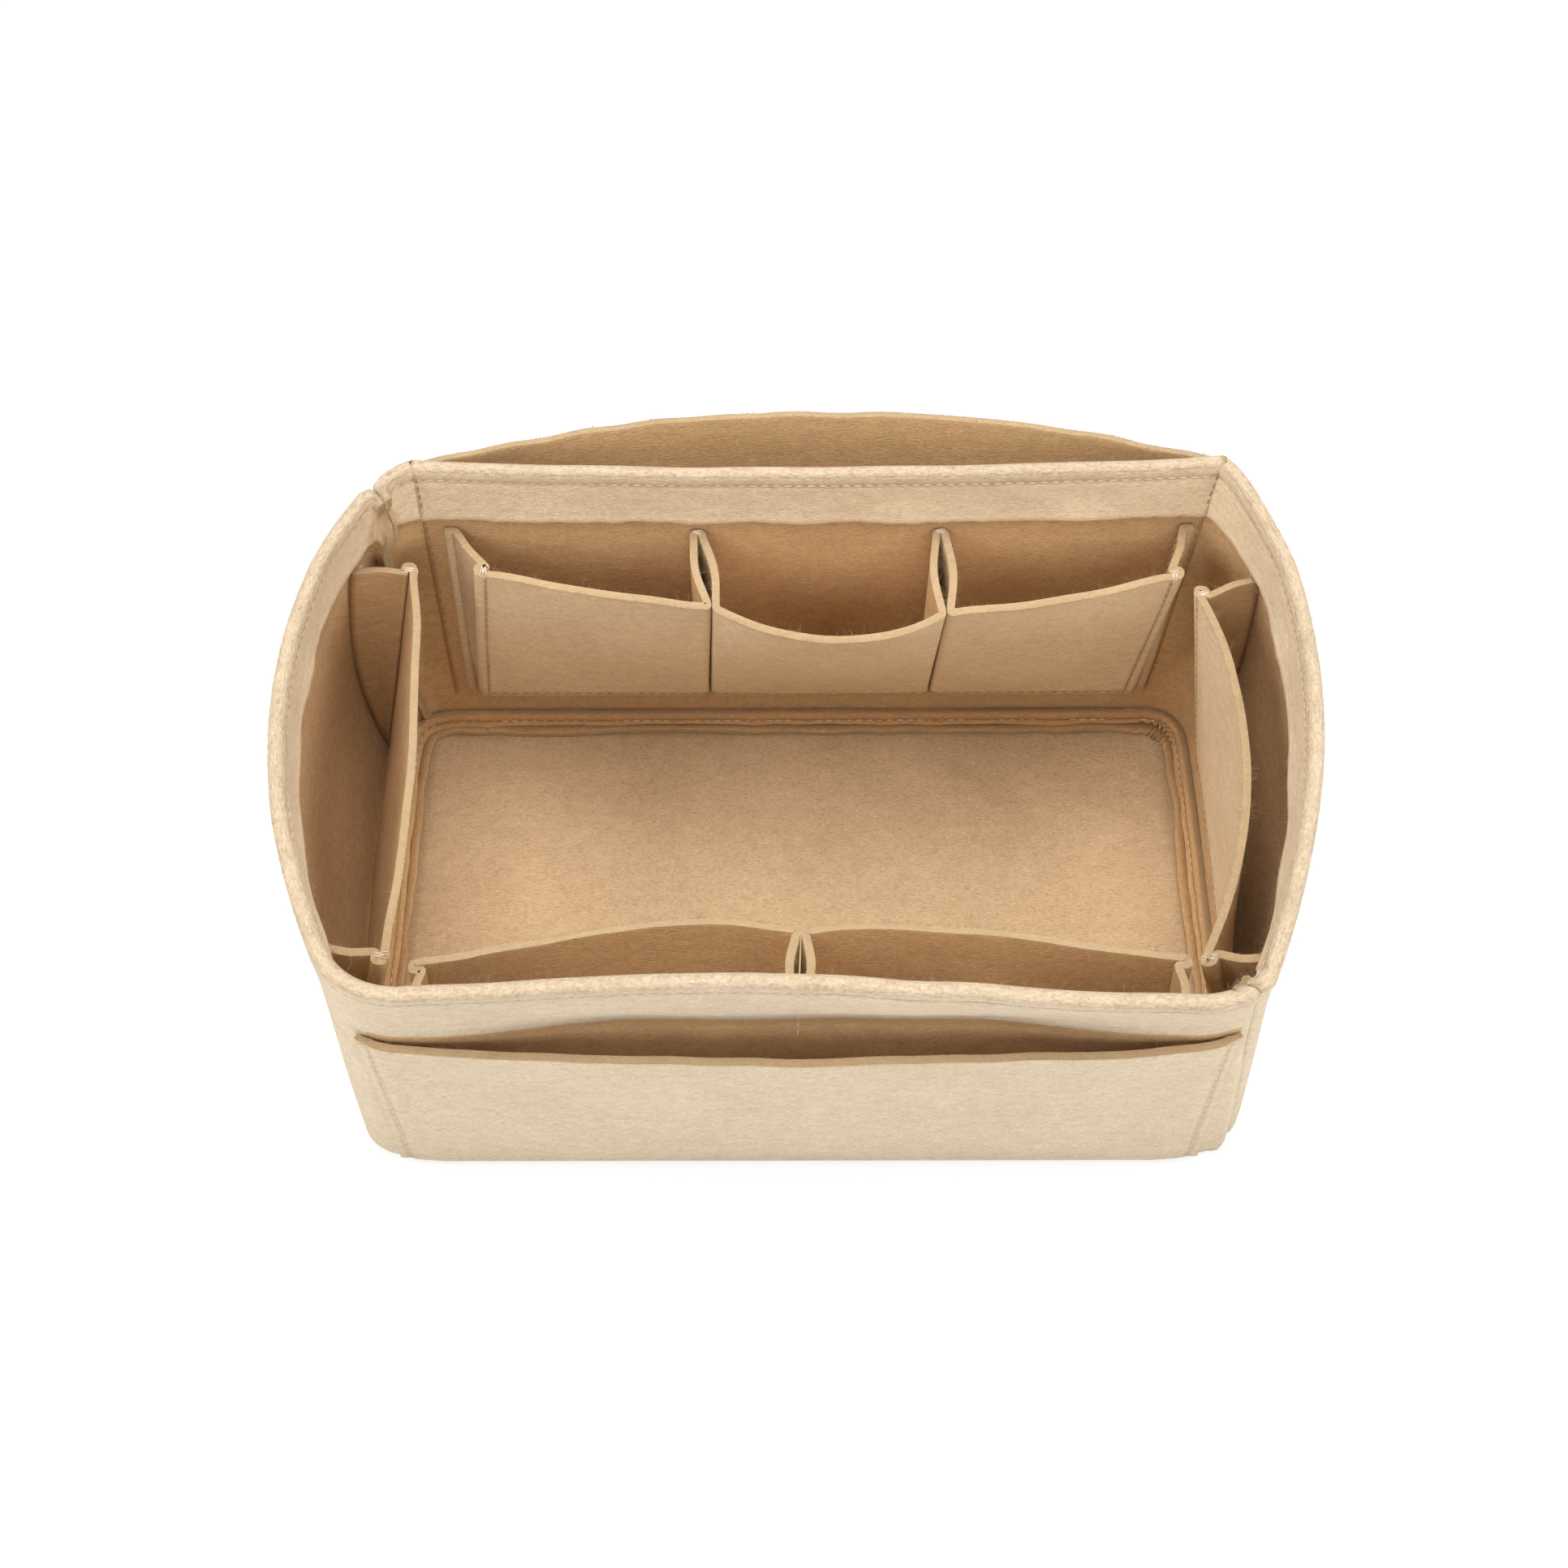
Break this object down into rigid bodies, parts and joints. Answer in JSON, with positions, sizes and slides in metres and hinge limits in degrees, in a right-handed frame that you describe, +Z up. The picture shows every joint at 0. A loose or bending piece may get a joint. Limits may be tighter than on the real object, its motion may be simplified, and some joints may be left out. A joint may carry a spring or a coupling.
{
  "type": "purse organizer insert",
  "caption": "Soft felt insert that stands inside a handbag: an open box with a hemmed rim, pleated inner pockets on every wall and slip pockets on its outside.",
  "frame": {"origin": "middle of the base underside", "axes": "+X to the right along the length, +Y to the back wall with the rear pocket, +Z up"},
  "size_m": [0.3222, 0.2207, 0.133],
  "materials": {
    "felt_outside": "brushed beige felt",
    "felt_inside": "brushed beige felt",
    "felt_floor": "brushed beige felt"
  },
  "bodies": {
    "box": {"base_panel": "felt_floor", "left_front_wall": "felt_outside", "back_right_wall": "felt_outside", "front_outer_pocket": "felt_outside", "rear_outer_pocket": "felt_outside"},
    "back_pockets": {"back_pocket_left_front": "felt_inside", "back_pocket_middle_front": "felt_inside", "back_pocket_right_front": "felt_inside", "back_pocket_left_gusset": "felt_inside", "back_pocket_right_gusset": "felt_inside", "back_pocket_left_pleat": "felt_inside", "back_pocket_right_pleat": "felt_inside"},
    "left_pocket": {"left_pocket_front": "felt_inside", "left_pocket_front_gusset": "felt_inside", "left_pocket_back_gusset": "felt_inside"},
    "right_pocket": {"right_pocket_front": "felt_inside", "right_pocket_front_gusset": "felt_inside", "right_pocket_back_gusset": "felt_inside"},
    "front_pockets": {"front_pocket_left_front": "felt_inside", "front_pocket_right_front": "felt_inside", "front_pocket_left_gusset": "felt_inside", "front_pocket_right_gusset": "felt_inside", "front_pocket_pleat": "felt_inside"}
  },
  "joints": [
    {"name": "back_pockets_hinge", "type": "hinge", "parent": "box", "child": "back_pockets", "pos_m": [0, 0.0882, 0.021], "axis": [1, 0, 0], "range_deg": [-9, 0], "stiffness_Nm_per_rad": 0.1, "deforming": ["back_pocket_left_gusset", "back_pocket_right_gusset", "back_pocket_left_pleat", "back_pocket_right_pleat"]},
    {"name": "left_pocket_hinge", "type": "hinge", "parent": "box", "child": "left_pocket", "pos_m": [-0.1446, 0, 0.021], "axis": [-0.0161, 0.9999, 0], "range_deg": [-8, 0], "stiffness_Nm_per_rad": 0.1, "deforming": ["left_pocket_front_gusset", "left_pocket_back_gusset"]},
    {"name": "right_pocket_hinge", "type": "hinge", "parent": "box", "child": "right_pocket", "pos_m": [0.1434, 0, 0.021], "axis": [-0.0109, -0.9999, 0], "range_deg": [-8, 0], "stiffness_Nm_per_rad": 0.1, "deforming": ["right_pocket_front_gusset", "right_pocket_back_gusset"]},
    {"name": "front_pockets_hinge", "type": "hinge", "parent": "box", "child": "front_pockets", "pos_m": [0, -0.0872, 0.021], "axis": [-1, 0, 0], "range_deg": [-6, 0], "stiffness_Nm_per_rad": 0.1, "deforming": ["front_pocket_left_gusset", "front_pocket_right_gusset", "front_pocket_pleat"]}
  ]
}
